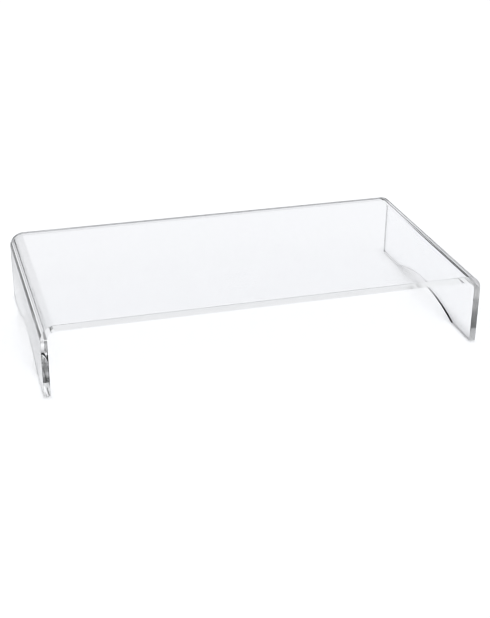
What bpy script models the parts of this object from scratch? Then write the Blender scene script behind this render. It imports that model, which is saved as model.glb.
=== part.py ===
"""Clear acrylic monitor riser stand.

One sheet of clear acrylic makes the shelf and both legs: it is bent down at each end, and an
arch cut out of the bottom of each leg leaves a flat foot at the front and at the back. A small
clear anti-slip pad is stuck under each of the four feet.

Units are metres. +X runs along the shelf to its right-hand end, +Y runs from the front to the
back and +Z is up. The origin is on the desk, under the middle of the shelf.
"""

from math import cos, pi, radians, sin

import bmesh
import bpy

# Driving dimensions
SHELF_WIDTH = 0.508            # over the outer faces of the legs
SHELF_DEPTH = 0.2667           # front edge to back edge
SHEET_HEIGHT = 0.084           # foot face to shelf top
SHEET_THICKNESS = 0.0075
BEND_INNER_RADIUS = 0.009525
FOOT_LENGTH = 0.050            # flat part of a leg's bottom edge, at its front and its back
ARCH_RISE = 0.0145             # height of the arch above the foot faces
EDGE_BREAK = 0.0004            # flat taken off every cut edge by polishing
PAD_DIAMETER = 0.006
PAD_THICKNESS = 0.001
PAD_SETBACK = 0.014            # leg's front or back edge to the pad's centre
FIT_GAP = 0.0003               # clearance between a pad and its foot

# How finely the round stretches are divided
BEND_STEPS = 16
ARCH_CIRCLE_STEPS = 240
PAD_STEPS = 48
SMOOTH_BELOW = radians(15)
BREAK_ABOVE = radians(40)

# Worked out from the driving dimensions
FOOT_Z = PAD_THICKNESS + FIT_GAP
TOP_Z = FOOT_Z + SHEET_HEIGHT
BEND_OUTER_RADIUS = BEND_INNER_RADIUS + SHEET_THICKNESS
HALF_WIDTH = SHELF_WIDTH / 2
HALF_DEPTH = SHELF_DEPTH / 2
LEG_CENTRE_X = HALF_WIDTH - SHEET_THICKNESS / 2
PAD_Y = HALF_DEPTH - PAD_SETBACK
ARCH_HALF_SPAN = HALF_DEPTH - FOOT_LENGTH
ARCH_RADIUS = (ARCH_HALF_SPAN ** 2 + ARCH_RISE ** 2) / (2 * ARCH_RISE)


def clear_scene():
    """Take every object out of the open scene."""
    for old_object in list(bpy.data.objects):
        bpy.data.objects.remove(old_object, do_unlink=True)


def clear_plastic(name, colour, roughness, refraction):
    """A see-through plastic."""
    material = bpy.data.materials.new(name)
    material.use_nodes = True
    shader = material.node_tree.nodes["Principled BSDF"]
    shader.inputs["Base Color"].default_value = (*colour, 1)
    shader.inputs["Roughness"].default_value = roughness
    shader.inputs["Metallic"].default_value = 0
    shader.inputs["IOR"].default_value = refraction
    shader.inputs["Transmission Weight"].default_value = 1
    return material


def add_object(name, bm, material=None):
    """Turn a bmesh into a named object in the scene."""
    bmesh.ops.recalc_face_normals(bm, faces=bm.faces)
    mesh = bpy.data.meshes.new(name)
    bm.to_mesh(mesh)
    bm.free()
    if material:
        mesh.materials.append(material)
    new_object = bpy.data.objects.new(name, mesh)
    bpy.context.scene.collection.objects.link(new_object)
    return new_object


def apply_modifiers(target):
    """Fix an object's modifiers into its mesh and shade its round stretches smooth."""
    bpy.context.view_layer.update()
    evaluated = target.evaluated_get(bpy.context.evaluated_depsgraph_get())
    target.data = bpy.data.meshes.new_from_object(evaluated)
    target.data.name = target.name
    target.modifiers.clear()
    target.data.shade_smooth()
    target.data.set_sharp_from_angle(angle=SMOOTH_BELOW)


def break_edges(target, width):
    """Soften an object's sharp edges by a narrow flat."""
    bevel = target.modifiers.new("edge_break", "BEVEL")
    bevel.width = width
    bevel.segments = 1
    bevel.limit_method = "ANGLE"
    bevel.angle_limit = BREAK_ABOVE


def bend_arc(side, radius, start, end):
    """Section points (x, z) round a bend: side is -1 on the left and +1 on the right."""
    centre_x = side * (HALF_WIDTH - BEND_OUTER_RADIUS)
    centre_z = TOP_Z - BEND_OUTER_RADIUS
    for step in range(BEND_STEPS + 1):
        angle = start + (end - start) * step / BEND_STEPS
        yield centre_x + radius * cos(angle), centre_z + radius * sin(angle)


def sheet_section():
    """The bent sheet's outline (x, z) seen from the front, once round it."""
    inner_x = HALF_WIDTH - SHEET_THICKNESS
    outline = [(-HALF_WIDTH, FOOT_Z)]
    outline += bend_arc(-1, BEND_OUTER_RADIUS, pi, pi / 2)
    outline += bend_arc(1, BEND_OUTER_RADIUS, pi / 2, 0)
    outline += [(HALF_WIDTH, FOOT_Z), (inner_x, FOOT_Z)]
    outline += bend_arc(1, BEND_INNER_RADIUS, 0, pi / 2)
    outline += bend_arc(-1, BEND_INNER_RADIUS, pi / 2, pi)
    outline += [(-inner_x, FOOT_Z)]
    return outline


def arch_cutter():
    """A long cylinder across both legs, whose upper arc is the arch under each leg."""
    bm = bmesh.new()
    bmesh.ops.create_cone(
        bm,
        cap_ends=True,
        segments=ARCH_CIRCLE_STEPS,
        radius1=ARCH_RADIUS,
        radius2=ARCH_RADIUS,
        depth=SHELF_WIDTH * 1.2,
    )
    cutter = add_object("arch_cutter", bm)
    cutter.rotation_euler.y = pi / 2
    cutter.location.z = FOOT_Z + ARCH_RISE - ARCH_RADIUS
    cutter.hide_render = True
    cutter.display_type = "WIRE"
    return cutter


def build_riser_body(material):
    """The acrylic sheet: shelf, two bends and two legs in one piece."""
    bm = bmesh.new()
    corners = [bm.verts.new((x, -HALF_DEPTH, z)) for x, z in sheet_section()]
    front_edge = bm.faces.new(corners)
    extruded = bmesh.ops.extrude_face_region(bm, geom=[front_edge])["geom"]
    back_corners = [item for item in extruded if isinstance(item, bmesh.types.BMVert)]
    bmesh.ops.translate(bm, verts=back_corners, vec=(0, SHELF_DEPTH, 0))
    body = add_object("riser_body", bm, material)

    arch = body.modifiers.new("arches", "BOOLEAN")
    arch.operation = "DIFFERENCE"
    arch.object = arch_cutter()
    break_edges(body, EDGE_BREAK)
    apply_modifiers(body)


def build_pad(name, x, y, material):
    """A small round pad, standing on the desk with its rim softened."""
    bm = bmesh.new()
    bmesh.ops.create_cone(
        bm,
        cap_ends=True,
        segments=PAD_STEPS,
        radius1=PAD_DIAMETER / 2,
        radius2=PAD_DIAMETER / 2,
        depth=PAD_THICKNESS,
    )
    pad = add_object(name, bm, material)
    pad.location = (x, y, PAD_THICKNESS / 2)
    break_edges(pad, PAD_THICKNESS / 5)
    apply_modifiers(pad)


def main():
    clear_scene()
    acrylic = clear_plastic("clear_acrylic", (0.96, 0.97, 0.98), 0.03, 1.49)
    build_riser_body(acrylic)
    for side, x in (("left", -LEG_CENTRE_X), ("right", LEG_CENTRE_X)):
        for end, y in (("front", -PAD_Y), ("rear", PAD_Y)):
            name = f"{end}_{side}_pad"
            rubber = clear_plastic(f"{name}_polyurethane", (0.90, 0.91, 0.91), 0.25, 1.50)
            build_pad(name, x, y, rubber)


main()
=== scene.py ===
"""The looks of a clear acrylic monitor riser: one bent sheet standing on four small pads."""

from math import atan2, cos, pi, radians, sin, sqrt

import bmesh
import bpy
from mathutils import Matrix, Vector


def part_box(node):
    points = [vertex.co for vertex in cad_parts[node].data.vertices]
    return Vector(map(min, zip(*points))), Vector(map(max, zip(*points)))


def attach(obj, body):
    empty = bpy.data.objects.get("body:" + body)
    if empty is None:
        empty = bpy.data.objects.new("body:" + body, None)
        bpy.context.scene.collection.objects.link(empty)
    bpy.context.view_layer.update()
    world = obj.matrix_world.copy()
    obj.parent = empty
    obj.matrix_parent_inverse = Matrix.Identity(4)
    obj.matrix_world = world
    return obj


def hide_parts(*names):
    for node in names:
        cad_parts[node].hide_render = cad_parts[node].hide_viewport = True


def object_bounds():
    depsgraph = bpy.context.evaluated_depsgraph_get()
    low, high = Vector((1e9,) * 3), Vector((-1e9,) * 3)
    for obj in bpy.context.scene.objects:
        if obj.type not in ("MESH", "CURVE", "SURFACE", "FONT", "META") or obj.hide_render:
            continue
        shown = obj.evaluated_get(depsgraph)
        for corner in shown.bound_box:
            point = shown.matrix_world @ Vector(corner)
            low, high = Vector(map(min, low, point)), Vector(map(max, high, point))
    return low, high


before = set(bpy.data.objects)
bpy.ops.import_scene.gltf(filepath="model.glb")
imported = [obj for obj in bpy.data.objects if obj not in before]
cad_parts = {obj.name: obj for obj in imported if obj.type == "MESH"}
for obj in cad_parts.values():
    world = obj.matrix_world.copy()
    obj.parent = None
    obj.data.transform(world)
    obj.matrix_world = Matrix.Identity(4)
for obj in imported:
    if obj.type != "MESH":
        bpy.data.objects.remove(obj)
cad_low, cad_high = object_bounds()

# The sheet, in metres. Its outer size comes from the frame.
SHEET_LOW, SHEET_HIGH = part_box("riser_body")
SHEET_THICKNESS = 0.0075
BEND_INNER_RADIUS = 0.009525
FOOT_LENGTH = 0.050
ARCH_RISE = 0.0145
EDGE_RADIUS = 0.0003           # rounding that polishing leaves along every cut edge
CORNER_RADIUS = 0.0012         # outer corner of a foot, seen from the side
ARCH_BLEND_RADIUS = 0.003      # where a foot runs into the arch

HALF_WIDTH = SHEET_HIGH.x
HALF_DEPTH = SHEET_HIGH.y
FOOT_Z = SHEET_LOW.z
TOP_Z = SHEET_HIGH.z
BEND_MIDDLE_RADIUS = BEND_INNER_RADIUS + SHEET_THICKNESS / 2
BEND_LENGTH = BEND_MIDDLE_RADIUS * pi / 2
SHELF_HALF = HALF_WIDTH - SHEET_THICKNESS - BEND_INNER_RADIUS
BEND_CENTRE_Z = TOP_Z - SHEET_THICKNESS - BEND_INNER_RADIUS
LEG_START = SHELF_HALF + BEND_LENGTH
LEG_END = LEG_START + BEND_CENTRE_Z - FOOT_Z
ARCH_HALF_SPAN = HALF_DEPTH - FOOT_LENGTH
ARCH_RADIUS = (ARCH_HALF_SPAN ** 2 + ARCH_RISE ** 2) / (2 * ARCH_RISE)
LEG_MIDDLE_X = HALF_WIDTH - SHEET_THICKNESS / 2

BEND_STEPS = 40
ARCH_STEPS = 72
CORNER_STEPS = 6
EDGE_STEPS = 5
EDGE_SLOT = 1                   # the second of the sheet's materials

# The pads: moulded bumpers, rounded where they meet the desk.
PAD_NAMES = ("front_left_pad", "front_right_pad", "rear_left_pad", "rear_right_pad")
PAD_ROUND = 0.0004
PAD_STEPS = 40
PAD_ROUND_STEPS = 5
GLUE_GAP = 0.00002

ACRYLIC_IOR = 1.491

# The acrylic's large faces. Scales are waves or marks per metre, for x, y and z where there are three.
FACE_TINT = (0.992, 0.994, 1.0, 1.0)
FACE_ROUGHNESS = 0.004
WAVE_SCALE = 14.0
WAVE_HEIGHT = 0.00004
RIPPLE_SCALES = (30.0, 110.0, 30.0)
RIPPLE_SHARE = 0.5              # of the waves' height, half-way round a bend
HAIRLINE_SCALES = (9.0, 420.0, 420.0)
HAIRLINE_DISTORTION = 0.6
HAIRLINE_LIMITS = (0.68, 0.80)  # the noise's value where a hairline starts and where it is full
HAIRLINE_ROUGHNESS = 0.03

# Its cut edges.
EDGE_TINT = (0.99, 0.995, 0.996, 1.0)
EDGE_ROUGHNESS = 0.17
EDGE_ROUGHNESS_LEFT = 0.03
EDGE_DULLING = (-0.21, -0.15)   # where along x the well polished left end goes over into the rest
HAZE_SCALE = 90.0
HAZE_ROUGHNESS = 0.02
GRAIN_SCALES = (900.0, 60.0, 900.0)
GRAIN_HEIGHT = 0.0000012

# The pads' resin. Where it is cloudy, it differs a little in tint and in roughness.
POLYURETHANE_IOR = 1.50
PAD_TINTS = (0.86, 0.88, 0.88, 1.0), (0.97, 0.98, 0.98, 1.0)
PAD_ROUGHNESS = 0.12
CLOUD_SCALE = 700.0
CLOUD_ROUGHNESS = 0.25
SKIN_SCALE = 6000.0
SKIN_STRENGTH = 0.4
SKIN_HEIGHT = 0.00002

# Camera: where the picture was taken from, as seen from the middle of the frame.
CAMERA_OFFSET = Vector((-0.37576, -1.28629, 0.61825))
CAMERA_HEADING = radians(16.699)    # from +Y towards +X
CAMERA_TILT = radians(25.835)       # below the horizon
CAMERA_ROLL = radians(0.674)
CAMERA_LENS_MM = 71.245
SENSOR_MM = 36
PIXEL_SOFTNESS = 1.1
MOST_BOUNCES = 40               # light in the sheet goes back and forth between its faces

# The studio: a pale floor under a cool soft dome. Rays that pass through the acrylic, or mirror in
# it, see a white card behind the object and dark surroundings, which is what draws its outlines.
DOME_COLOUR = (1.235, 1.245, 1.27, 1.0)

# The card. Turns are angles to the right of the camera's heading.
CARD_COLOUR = (0.985, 0.99, 1.01)
CARD_TURN = radians(-0.25)
CARD_HALF = radians(18.4)
CARD_SOFT_LEFT = radians(6.0)
CARD_SOFT_RIGHT = radians(0.8)
CARD_SLANT = 0.38               # lean of the right edge
CARD_WAIST = radians(18)        # height at which the card is narrowest
CARD_TONES = (                  # degrees above the horizon and brightness
    (0, 0.65), (10, 0.95), (15, 1.2), (20, 1.0), (26, 0.88), (34, 0.6), (43, 0.12), (50, 0.0),
)

# A weaker wing that carries the card on to the left.
WING_START = radians(-45)
WING_END = radians(-65)
WING_SHARE = 0.45

# The floor, which ends not far off for the rays that meet the acrylic.
FLOOR_HALF = 40.0
FLOOR_TONE = 0.83
FLOOR_TONE_THROUGH = 0.76
FLOOR_DARK_TONE = 0.02
FLOOR_CENTRE = (0.06, 0.05, 0.0)
FLOOR_WHITE_RADIUS = 0.60
FLOOR_DARK_RADIUS = 1.10
BACKWARD_DROP = 0.4
BACKWARD_LIMITS = (-0.1, 0.4)
CONTACT_REACH = 0.020
CONTACT_SHARE = 0.12

# Painted shade on the floor for rays that the legs mirror, by the distance from the leg.
INNER_DARK_REACH = 0.008
INNER_WHITE_REACH = 0.022
OUTER_WHITE_REACH = 0.002
OUTER_DULL_REACH = 0.012
OUTER_DROP = 0.3

HALF_A_BOUNCE = 0.5             # tells no bounces from one or more


def grey(tone):
    """A neutral colour of this brightness."""
    return (tone, tone, tone, 1.0)


def new_object(name, data):
    """An object with this mesh or camera, linked to the scene."""
    made = bpy.data.objects.new(name, data)
    bpy.context.scene.collection.objects.link(made)
    return made


def stand_for(piece, node):
    """Puts a piece in the place of one of the frame's nodes, and hides that node."""
    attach(piece, "root")
    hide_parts(node)


def side_of(u):
    """1 on the right half of the sheet, -1 on the left half."""
    return 1 if u >= 0 else -1


def arc_points(centre, radius, start, end, steps, side=1):
    """Points (u, v) and outward normals along an arc; side -1 makes the normals face its centre."""
    for step in range(steps + 1):
        angle = start + (end - start) * step / steps
        direction = (cos(angle), sin(angle))
        yield (
            (centre[0] + radius * direction[0], centre[1] + radius * direction[1]),
            (side * direction[0], side * direction[1]),
        )


def foot_outline():
    """The end of the flat sheet at +u, from its front corner (v < 0) to its back corner.

    u runs along the sheet from the middle of the shelf down the leg, v from front to back.
    """
    # The blend is a small circle that touches the foot's straight edge and the arch's circle.
    arch_centre_u = LEG_END - ARCH_RISE + ARCH_RADIUS
    blend_u = LEG_END - ARCH_BLEND_RADIUS
    reach = ARCH_RADIUS + ARCH_BLEND_RADIUS
    blend_v = sqrt(reach ** 2 - (arch_centre_u - blend_u) ** 2)
    turn = atan2(blend_v, arch_centre_u - blend_u)

    corner_v = HALF_DEPTH - CORNER_RADIUS
    corner_u = LEG_END - CORNER_RADIUS
    outline = list(arc_points((corner_u, -corner_v), CORNER_RADIUS, -pi / 2, 0, CORNER_STEPS))
    outline += arc_points((blend_u, -blend_v), ARCH_BLEND_RADIUS, 0, turn, CORNER_STEPS)
    arch = arc_points((arch_centre_u, 0), ARCH_RADIUS, pi + turn, pi - turn, ARCH_STEPS, side=-1)
    outline += list(arch)[1:-1]
    outline += arc_points((blend_u, blend_v), ARCH_BLEND_RADIUS, -turn, 0, CORNER_STEPS)
    outline += arc_points((corner_u, corner_v), CORNER_RADIUS, 0, pi / 2, CORNER_STEPS)
    return outline


def bend_stations():
    """Distances u along the sheet where the bend is divided, from the shelf to the leg."""
    return [SHELF_HALF + BEND_LENGTH * step / BEND_STEPS for step in range(BEND_STEPS + 1)]


def bent(u, v, w):
    """Where the flat sheet's point (u, v, w) goes in the bent one, w being its height over the middle.

    With it come two directions there: away from the middle of the shelf, and out of the upper face.
    """
    side = side_of(u)
    run = abs(u)
    if run < SHELF_HALF:
        place = Vector((u, v, TOP_Z - SHEET_THICKNESS / 2 + w))
        return place, Vector((side, 0, 0)), Vector((0, 0, 1))
    if run > LEG_START:
        place = Vector((side * (LEG_MIDDLE_X + w), v, BEND_CENTRE_Z - (run - LEG_START)))
        return place, Vector((0, 0, -1)), Vector((side, 0, 0))
    angle = (run - SHELF_HALF) / BEND_MIDDLE_RADIUS
    along = Vector((side * cos(angle), 0, -sin(angle)))
    out = Vector((side * sin(angle), 0, cos(angle)))
    place = Vector((side * SHELF_HALF, v, BEND_CENTRE_Z)) + out * (BEND_MIDDLE_RADIUS + w)
    return place, along, out


def edge_section():
    """The rounded edge of the sheet, from its upper face to its lower one.

    Each entry has the distance in from the edge, the height w, and the normal's parts outwards
    and upwards.
    """
    half = SHEET_THICKNESS / 2
    for face in (1, -1):
        steps = range(EDGE_STEPS + 1) if face == 1 else range(EDGE_STEPS, -1, -1)
        for step in steps:
            angle = pi / 2 * step / EDGE_STEPS
            inset = EDGE_RADIUS * (1 - sin(angle))
            height = face * (half - EDGE_RADIUS * (1 - cos(angle)))
            yield inset, height, sin(angle), face * cos(angle)


def finished_object(name, bm, normals, materials):
    """A smooth object made from bm, with the given normal at each vertex."""
    mesh = bpy.data.meshes.new(name)
    bm.normal_update()
    bm.to_mesh(mesh)
    bm.free()
    for material in materials:
        mesh.materials.append(material)
    mesh.shade_smooth()
    mesh.normals_split_custom_set_from_vertices(normals)
    return new_object(name, mesh)


def edge_ring(bm, normals, point, normal):
    """The vertices of the edge's section at one point of the outline, whose normals are noted too."""
    ring = []
    for inset, height, outwards, upwards in edge_section():
        u = point[0] - normal[0] * inset
        v = point[1] - normal[1] * inset
        place, along, out = bent(u, v, height)
        facing = along * (side_of(u) * normal[0]) + Vector((0, normal[1], 0))
        normals.append((facing * outwards + out * upwards).normalized())
        ring.append(bm.verts.new(place))
    return ring


def cover_face(bm, rim, bend_count, flip):
    """One of the two large faces: at each end the strips round the bend and the leg, then the shelf."""
    def face(verts):
        bm.faces.new(reversed(verts) if flip else verts)

    half = len(rim) // 2
    for first in (0, half):
        side = rim[first:first + half]
        for step in range(bend_count - 1):
            face([side[step], side[step + 1], side[-2 - step], side[-1 - step]])
        face(side[bend_count - 1:half - bend_count + 1])
    face([rim[0], rim[half - 1], rim[half], rim[-1]])


def build_sheet(name, materials):
    """The whole acrylic sheet as one closed mesh whose normals are exact everywhere."""
    bm = bmesh.new()
    normals = []
    stations = bend_stations()
    back = [((u, HALF_DEPTH), (0, 1)) for u in reversed(stations)]
    front = [((u, -HALF_DEPTH), (0, -1)) for u in stations]
    right = front + foot_outline() + back
    left = [((-u, v), (-nu, nv)) for (u, v), (nu, nv) in reversed(right)]
    rows = [edge_ring(bm, normals, point, normal) for point, normal in right + left]

    for here, after in zip(rows, rows[1:] + rows[:1]):
        for step in range(len(here) - 1):
            strip = bm.faces.new((here[step], here[step + 1], after[step + 1], after[step]))
            strip.material_index = EDGE_SLOT
    cover_face(bm, [row[0] for row in rows], len(stations), flip=False)
    cover_face(bm, [row[-1] for row in rows], len(stations), flip=True)
    return finished_object(name, bm, normals, materials)


def build_pad(name, low, high, materials):
    """A moulded bumper: a disc that sits flat under the foot and is rounded where it meets the desk."""
    bm = bmesh.new()
    normals = []
    centre = (low + high) / 2
    radius = (high.x - low.x) / 2
    top = FOOT_Z - GLUE_GAP
    # Distance from the axis, height, and the normal's parts outwards and upwards.
    profile = [(0, low.z, 0, -1)]
    for step in range(PAD_ROUND_STEPS + 1):
        angle = pi / 2 * step / PAD_ROUND_STEPS
        reach = radius - PAD_ROUND * (1 - sin(angle))
        profile.append((reach, low.z + PAD_ROUND * (1 - cos(angle)), sin(angle), -cos(angle)))
    profile += [(radius, top, 1, 0), (radius, top, 0, 1), (0, top, 0, 1)]

    rings = []
    for reach, height, outwards, upwards in profile:
        steps = PAD_STEPS if reach else 1
        row = []
        for step in range(steps):
            angle = 2 * pi * step / steps
            out = Vector((cos(angle), sin(angle), 0))
            row.append(bm.verts.new(Vector((centre.x, centre.y, height)) + out * reach))
            normals.append(out * outwards + Vector((0, 0, upwards)))
        rings.append(row)
    for below, above in zip(rings, rings[1:]):
        for step in range(PAD_STEPS):
            after = (step + 1) % PAD_STEPS
            if len(below) == 1:
                bm.faces.new((below[0], above[after], above[step]))
            elif len(above) == 1:
                bm.faces.new((below[step], below[after], above[0]))
            else:
                bm.faces.new((below[step], below[after], above[after], above[step]))
    return finished_object(name, bm, normals, materials)


class Nodes:
    """Writes a node tree as short formulas. A value is a number, a tuple or another node's output."""

    def __init__(self, owner):
        owner.use_nodes = True
        self.tree = owner.node_tree
        self.tree.nodes.clear()

    def add(self, kind, inputs=(), output=0, **settings):
        """A node of this kind with its settings and inputs, and the output asked for."""
        node = self.tree.nodes.new("ShaderNode" + kind)
        for key, value in settings.items():
            setattr(node, key, value)
        pairs = inputs.items() if isinstance(inputs, dict) else enumerate(inputs)
        for key, value in pairs:
            if isinstance(value, bpy.types.NodeSocket):
                self.tree.links.new(value, node.inputs[key])
            else:
                node.inputs[key].default_value = value
        return node.outputs[output] if node.outputs else None

    def math(self, operation, *values, clamp=False):
        """A number worked out from others."""
        return self.add("Math", values, operation=operation, use_clamp=clamp)

    def vector(self, operation, *values, output="Vector"):
        """A vector worked out from others, or a number with output="Value"."""
        return self.add("VectorMath", values, output, operation=operation)

    def fade(self, value, start, end):
        """0 at start, 1 at end and smooth between."""
        low, high = min(start, end), max(start, end)
        ends = {"To Min": float(start > end), "To Max": float(start < end)}
        inputs = {"Value": value, "From Min": low, "From Max": high, **ends}
        return self.add("MapRange", inputs, interpolation_type="SMOOTHSTEP")

    def mix(self, share, first, second):
        """A colour share of the way from first to second."""
        return self.add("Mix", {0: share, 6: first, 7: second}, 2, data_type="RGBA")

    def mix_numbers(self, share, first, second):
        """A number share of the way from first to second."""
        return self.add("Mix", {0: share, 2: first, 3: second})

    def part(self, place, axis):
        """One of a vector's three parts."""
        return self.add("SeparateXYZ", [place], axis)

    def camera_heading(self):
        """The level direction the camera looks in."""
        ahead = self.add("VectorTransform", [(0.0, 0.0, 1.0)], vector_type="VECTOR",
                         convert_from="CAMERA", convert_to="WORLD")
        return self.vector("NORMALIZE", self.vector("MULTIPLY", ahead, (1.0, 1.0, 0.0)))

    def sees_plain_studio(self):
        """1 for the camera's own rays and for those that light a surface, 0 for those from the acrylic."""
        path = self.add("LightPath").node.outputs
        lighting = self.math("GREATER_THAN", path["Diffuse Depth"], HALF_A_BOUNCE)
        return self.math("MAXIMUM", lighting, path["Is Camera Ray"])

    def noise(self, place, scale, detail=2.0, distortion=0.0):
        """Noise with this scale, a number or one for each axis."""
        if isinstance(scale, tuple):
            place = self.vector("MULTIPLY", place, scale)
            scale = 1.0
        inputs = {"Vector": place, "Scale": scale, "Detail": detail, "Distortion": distortion}
        return self.add("TexNoise", inputs)

    def bump(self, height, distance, strength=1.0):
        """The normal of a surface that is raised by height times distance."""
        return self.add("Bump", {"Strength": strength, "Distance": distance, "Height": height})

    def clear_surface(self, tint, roughness, ior, normal):
        """Ends the tree with a see-through surface."""
        shader = self.add("BsdfPrincipled", {
            "Base Color": tint, "Roughness": roughness, "IOR": ior,
            "Transmission Weight": 1.0, "Normal": normal,
        })
        self.add("OutputMaterial", {"Surface": shader})


def started_material(name):
    """A new material with its nodes and the object's own coordinates in them."""
    material = bpy.data.materials.new(name)
    nodes = Nodes(material)
    return material, nodes, nodes.add("TexCoord", output="Object")


def acrylic_face():
    """The sheet's two large faces: optically clear, slightly wavy, and rippled where heat bent them."""
    material, nodes, place = started_material("acrylic_face")
    steepness = nodes.vector("ABSOLUTE", nodes.add("NewGeometry", output="Normal"))
    slant = nodes.math("MULTIPLY", nodes.part(steepness, "X"), nodes.part(steepness, "Z"))
    in_bend = nodes.math("MULTIPLY", slant, 2.0, clamp=True)    # 1 half-way round, 0 on the flats
    ripple = nodes.math("MULTIPLY", nodes.noise(place, RIPPLE_SCALES, detail=1.0), in_bend)
    waves = nodes.noise(place, WAVE_SCALE, detail=1.0)
    height = nodes.math("MULTIPLY_ADD", ripple, RIPPLE_SHARE, waves)

    hairline = nodes.noise(place, HAIRLINE_SCALES, detail=3.0, distortion=HAIRLINE_DISTORTION)
    scratched = nodes.fade(hairline, *HAIRLINE_LIMITS)
    roughness = nodes.math("MULTIPLY_ADD", scratched, HAIRLINE_ROUGHNESS, FACE_ROUGHNESS)
    nodes.clear_surface(FACE_TINT, roughness, ACRYLIC_IOR, nodes.bump(height, WAVE_HEIGHT))
    return material


def acrylic_edge():
    """The cut edges: polished, yet with a faint haze and a very fine grain."""
    material, nodes, place = started_material("acrylic_edge")
    # They are better polished at the left end than over the rest.
    duller = nodes.fade(nodes.part(place, "X"), *EDGE_DULLING)
    least = nodes.mix_numbers(duller, EDGE_ROUGHNESS_LEFT, EDGE_ROUGHNESS)
    haze = nodes.noise(place, HAZE_SCALE, detail=3.0)
    roughness = nodes.math("MULTIPLY_ADD", haze, HAZE_ROUGHNESS, least)
    grain = nodes.bump(nodes.noise(place, GRAIN_SCALES), GRAIN_HEIGHT)
    nodes.clear_surface(EDGE_TINT, roughness, ACRYLIC_IOR, grain)
    return material


def polyurethane():
    """Clear soft bumpers: a slightly cloudy resin with a fine moulded skin."""
    material, nodes, place = started_material("clear_polyurethane")
    cloud = nodes.noise(place, CLOUD_SCALE, detail=3.0)
    roughness = nodes.math("MULTIPLY_ADD", cloud, CLOUD_ROUGHNESS, PAD_ROUGHNESS)
    skin = nodes.bump(nodes.noise(place, SKIN_SCALE), SKIN_HEIGHT, SKIN_STRENGTH)
    nodes.clear_surface(nodes.mix(cloud, *PAD_TINTS), roughness, POLYURETHANE_IOR, skin)
    return material


def card_tone(nodes, climb):
    """The card's brightness at this height above the horizon."""
    tone = nodes.add("ValToRGB", [nodes.math("DIVIDE", climb, pi / 2)])
    ramp = tone.node.color_ramp
    ramp.interpolation = "EASE"
    while len(ramp.elements) < len(CARD_TONES):
        ramp.elements.new(1.0)
    for element, (degrees, value) in zip(ramp.elements, CARD_TONES):
        element.position = degrees / 90
        element.color = grey(value)
    return tone


def build_world():
    """The dome, and the card that the acrylic shows."""
    world = bpy.data.worlds.new("studio")
    bpy.context.scene.world = world
    world.cycles.sampling_method = "NONE"
    nodes = Nodes(world)
    direction = nodes.add("TexCoord", output="Generated")
    # The card stands behind the object as the camera sees it, so it turns with the camera.
    level = nodes.camera_heading()
    rightward = nodes.vector("CROSS_PRODUCT", level, (0.0, 0.0, 1.0))
    forward_share = nodes.vector("DOT_PRODUCT", direction, level, output="Value")
    right_share = nodes.vector("DOT_PRODUCT", direction, rightward, output="Value")
    turn = nodes.math("ARCTAN2", right_share, forward_share)
    climb = nodes.math("ARCSINE", nodes.part(direction, "Z"))

    left_edge, right_edge = CARD_TURN - CARD_HALF, CARD_TURN + CARD_HALF
    on_card = nodes.fade(turn, left_edge - CARD_SOFT_LEFT, left_edge + CARD_SOFT_LEFT)
    on_wing = nodes.math("MULTIPLY", nodes.fade(turn, WING_END, WING_START), WING_SHARE)
    from_left = nodes.math("MAXIMUM", on_card, on_wing)
    # The card's right edge leans inwards up to its waist and outwards again above it.
    to_waist = nodes.math("MINIMUM", climb, nodes.math("SUBTRACT", 2 * CARD_WAIST, climb))
    slanted = nodes.math("MULTIPLY_ADD", to_waist, CARD_SLANT, turn)
    to_right = nodes.fade(slanted, right_edge + CARD_SOFT_RIGHT, right_edge - CARD_SOFT_RIGHT)
    within = nodes.math("MULTIPLY", from_left, to_right)
    strength = nodes.math("MULTIPLY", within, card_tone(nodes, climb))
    card = nodes.add("VectorMath", {0: CARD_COLOUR, "Scale": strength}, operation="SCALE")

    colour = nodes.mix(nodes.sees_plain_studio(), card, DOME_COLOUR)
    nodes.add("OutputWorld", {"Surface": nodes.add("Background", {"Color": colour})})


def floor_through_acrylic(nodes, place):
    """The floor's colour to rays from the acrylic: a little darker, and dark beyond its end."""
    away = nodes.vector("DISTANCE", place, FLOOR_CENTRE, output="Value")
    ended = nodes.fade(away, FLOOR_WHITE_RADIUS, FLOOR_DARK_RADIUS)
    dark = grey(FLOOR_DARK_TONE)
    # Lit from behind, the floor looks darker to a ray that comes back towards the camera.
    seen_from = nodes.add("NewGeometry", output="Incoming")
    backwards = nodes.vector("DOT_PRODUCT", seen_from, nodes.camera_heading(), output="Value")
    unlit = nodes.math("MULTIPLY", nodes.fade(backwards, *BACKWARD_LIMITS), BACKWARD_DROP)
    return nodes.mix(unlit, nodes.mix(ended, grey(FLOOR_TONE_THROUGH), dark), dark)


def contact_shade(nodes, place):
    """The light lost close to the feet, where less of it reaches the floor."""
    # x keeps its sign, so the gap is the distance to the middle line under the nearer leg.
    beyond = nodes.vector("SUBTRACT", nodes.vector("ABSOLUTE", place), (LEG_MIDDLE_X, HALF_DEPTH, 0.0))
    outside = nodes.vector("MAXIMUM", beyond, (-LEG_MIDDLE_X, 0.0, 0.0))
    gap = nodes.vector("LENGTH", outside, output="Value")
    return nodes.math("MULTIPLY", nodes.fade(gap, CONTACT_REACH, 0.0), CONTACT_SHARE)


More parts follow.
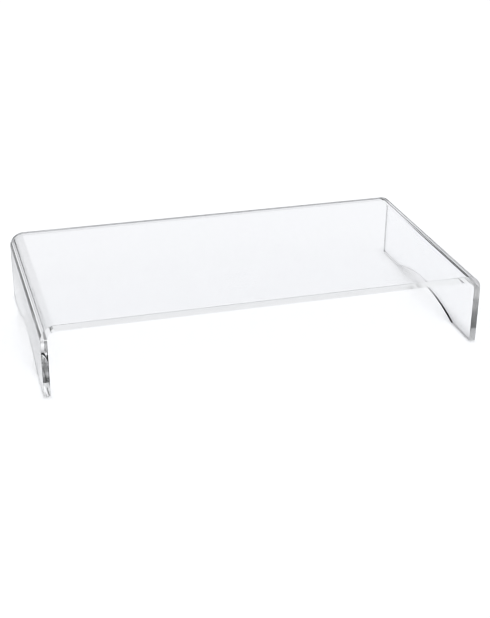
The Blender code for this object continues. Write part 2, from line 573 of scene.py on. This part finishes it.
def mirror_shade(nodes, place):
    """Painted shade on the floor for rays that the legs' faces mirror: the share of its light taken out of
    their reflections.
    """
    sideways = nodes.part(place, "X")
    # Right beside the legs the floor is painted dark for the inner faces' reflections: painted shade.
    inwards = nodes.math("SUBTRACT", HALF_WIDTH - SHEET_THICKNESS, nodes.math("ABSOLUTE", sideways))
    near = nodes.fade(inwards, INNER_WHITE_REACH, INNER_DARK_REACH)
    beside = nodes.math("MULTIPLY", near, nodes.math("GREATER_THAN", inwards, 0.0))
    # Away from the left leg the floor is painted darker for its outer face's reflection: painted shade.
    leftwards = nodes.math("SUBTRACT", -HALF_WIDTH, sideways)
    far = nodes.fade(leftwards, OUTER_WHITE_REACH, OUTER_DULL_REACH)
    return nodes.math("MAXIMUM", beside, nodes.math("MULTIPLY", far, OUTER_DROP))


def floor_material():
    """Plain and pale when seen directly, and shaded for the rays that the acrylic bends or mirrors."""
    material, nodes, place = started_material("studio_floor")
    path = nodes.add("LightPath").node.outputs
    outside = nodes.math("LESS_THAN", path["Transmission Depth"], HALF_A_BOUNCE)
    mirrored = nodes.math("MULTIPLY", path["Is Glossy Ray"], outside)
    # Painted shade: the contact shade for rays through the acrylic, the mirror shade for rays the legs
    # mirror.
    loss = nodes.mix_numbers(mirrored, contact_shade(nodes, place), mirror_shade(nodes, place))
    shaded = nodes.mix(loss, floor_through_acrylic(nodes, place), grey(0.0))
    colour = nodes.mix(nodes.sees_plain_studio(), shaded, grey(FLOOR_TONE))
    nodes.add("OutputMaterial", {"Surface": nodes.add("BsdfDiffuse", {"Color": colour})})
    return material


def build_floor():
    """A floor that runs on past the picture's edges."""
    mesh = bpy.data.meshes.new("studio_floor")
    signs = ((-1, -1), (1, -1), (1, 1), (-1, 1))
    corners = [(x * FLOOR_HALF, y * FLOOR_HALF, 0) for x, y in signs]
    mesh.from_pydata(corners, [], [range(len(corners))])
    mesh.materials.append(floor_material())
    new_object("studio_floor", mesh)


def build_camera():
    """The camera, where the picture was taken from."""
    camera = new_object("camera", bpy.data.cameras.new("camera"))
    bpy.context.scene.camera = camera
    camera.data.lens = CAMERA_LENS_MM
    camera.data.sensor_width = SENSOR_MM
    camera.rotation_mode = "QUATERNION"
    turn = Matrix.Rotation(-CAMERA_HEADING, 3, "Z") @ Matrix.Rotation(pi / 2 - CAMERA_TILT, 3, "X")
    camera.rotation_quaternion = (turn @ Matrix.Rotation(CAMERA_ROLL, 3, "Z")).to_quaternion()
    camera.location = (cad_low + cad_high) / 2 + CAMERA_OFFSET


def set_light_paths():
    """Lets light cross the clear sheet as often as it needs to, and keeps the picture's edges crisp."""
    scene = bpy.context.scene
    scene.view_settings.view_transform = "Standard"
    scene.cycles.max_bounces = MOST_BOUNCES
    scene.cycles.transmission_bounces = MOST_BOUNCES
    scene.cycles.glossy_bounces = MOST_BOUNCES
    scene.cycles.sample_clamp_indirect = 0
    scene.cycles.blur_glossy = 0
    scene.cycles.filter_width = PIXEL_SOFTNESS
    scene.cycles.use_denoising = True
    scene.cycles.denoising_input_passes = "RGB"


sheet = build_sheet("acrylic_sheet", [acrylic_face(), acrylic_edge()])
stand_for(sheet, "riser_body")
pad_material = polyurethane()
for pad_name in PAD_NAMES:
    pad = build_pad("visual_" + pad_name, *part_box(pad_name), [pad_material])
    stand_for(pad, pad_name)

build_floor()
build_world()
build_camera()
set_light_paths()

bpy.context.view_layer.update()
